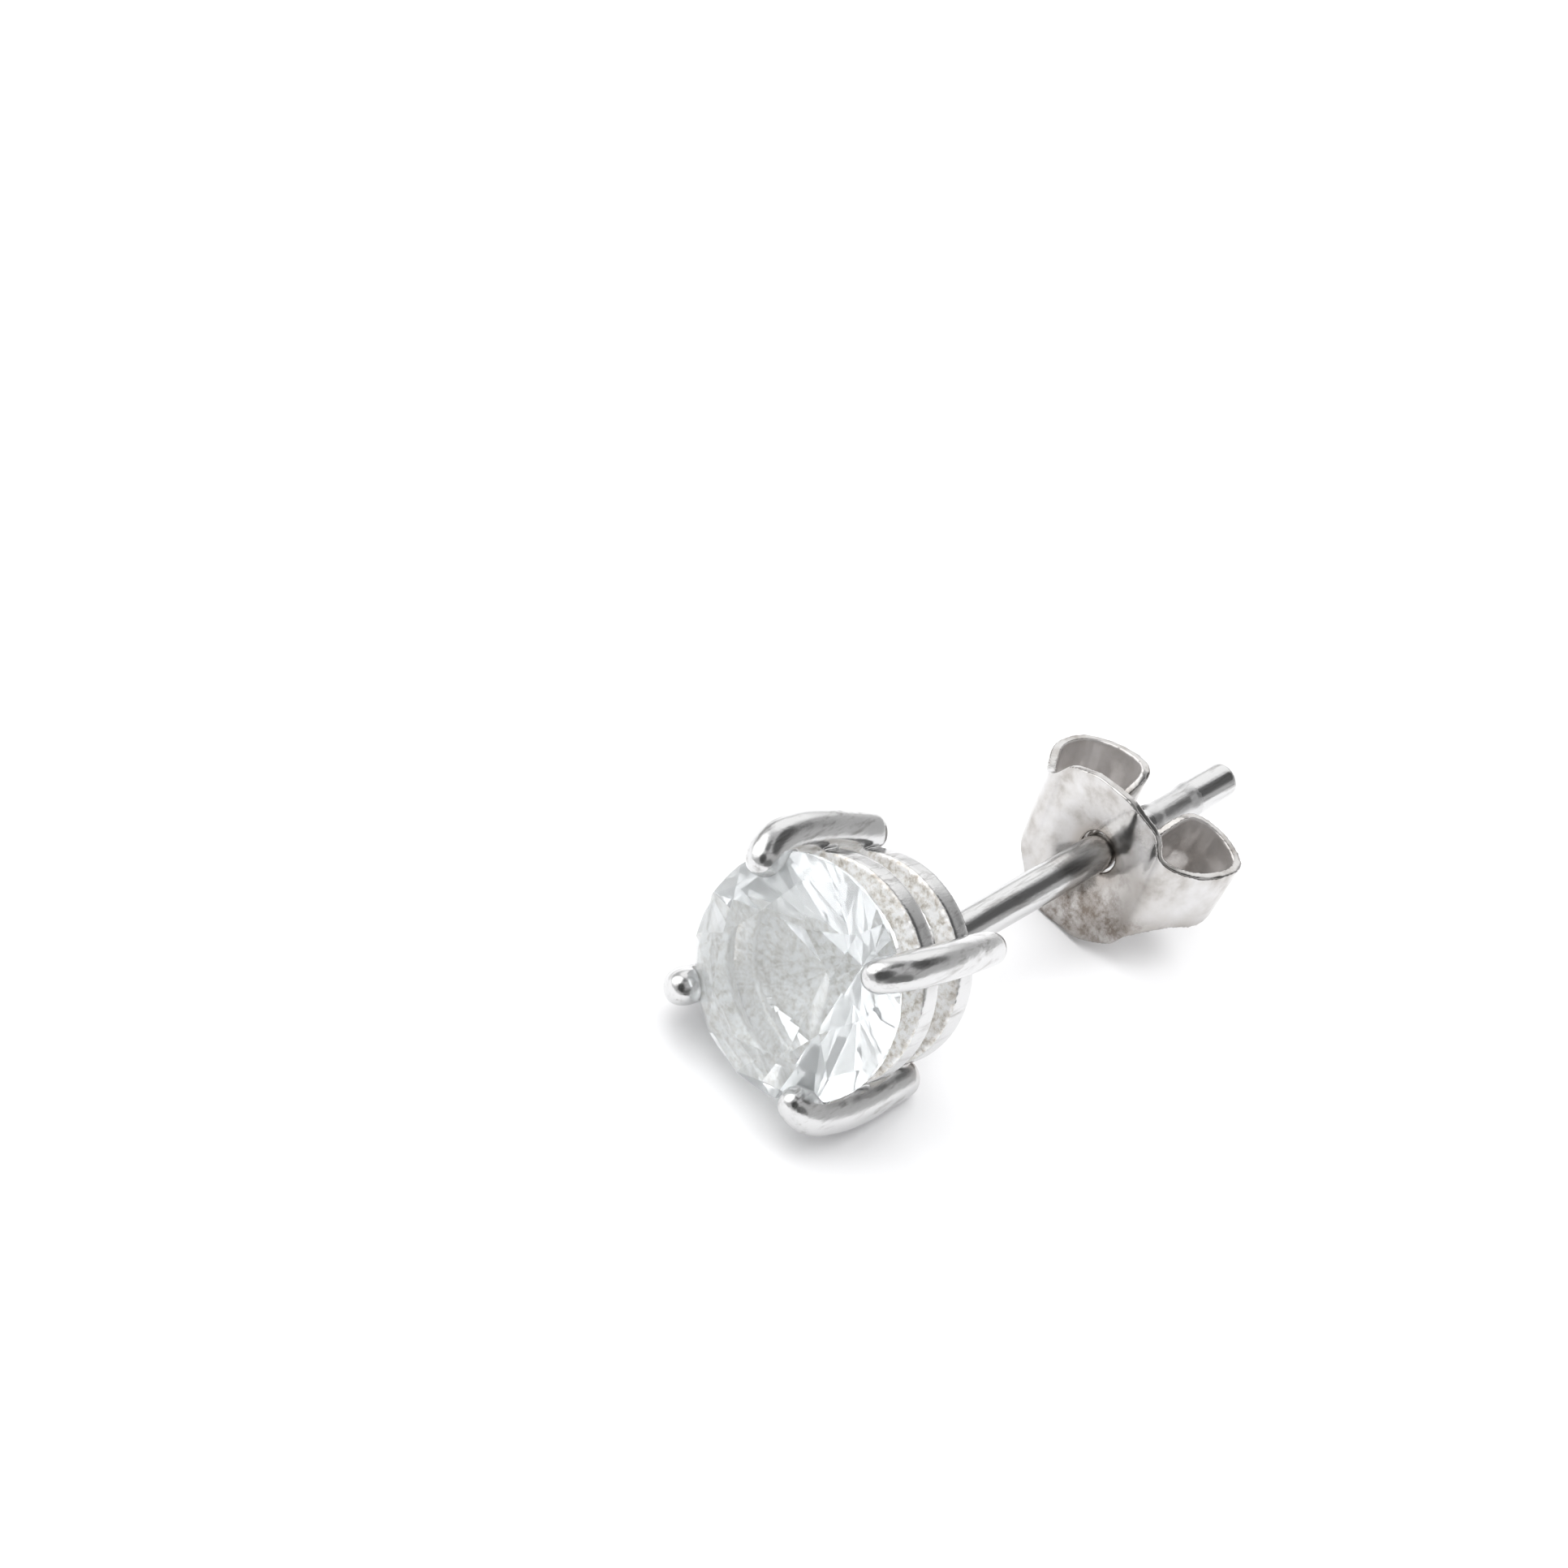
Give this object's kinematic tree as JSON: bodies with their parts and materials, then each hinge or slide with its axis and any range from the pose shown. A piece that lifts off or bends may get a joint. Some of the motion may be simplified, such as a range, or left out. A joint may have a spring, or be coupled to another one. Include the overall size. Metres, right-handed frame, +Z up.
{
  "type": "stud earring",
  "caption": "Stud earring: a round brilliant-cut stone in a claw-set double-gallery silver head, with a soldered ear post and a sliding butterfly back, lying at rest.",
  "frame": {"origin": "bottom centre of the bounding box, on the surface that the earring lies on", "axes": "+Z up; +Y from the stone to the post's tip; +X to the right seen from the stone's side"},
  "size_m": [0.005, 0.0154, 0.0052],
  "materials": {
    "stone": "polished facets, faint cool tint",
    "cast_silver": "polished cast silver with rough-cast ring faces",
    "sheet_silver": "stamped and polished thin sheet, lightly tarnished"
  },
  "bodies": {
    "stud": {"stone": "stone", "setting": "cast_silver"},
    "friction_back": {"butterfly_back": "sheet_silver"}
  },
  "joints": [
    {"name": "back_slide", "type": "slide", "parent": "stud", "child": "friction_back", "axis": [-0.0044, 0.9983, 0.0574], "range_m": [-0.005, 0.0028]}
  ]
}
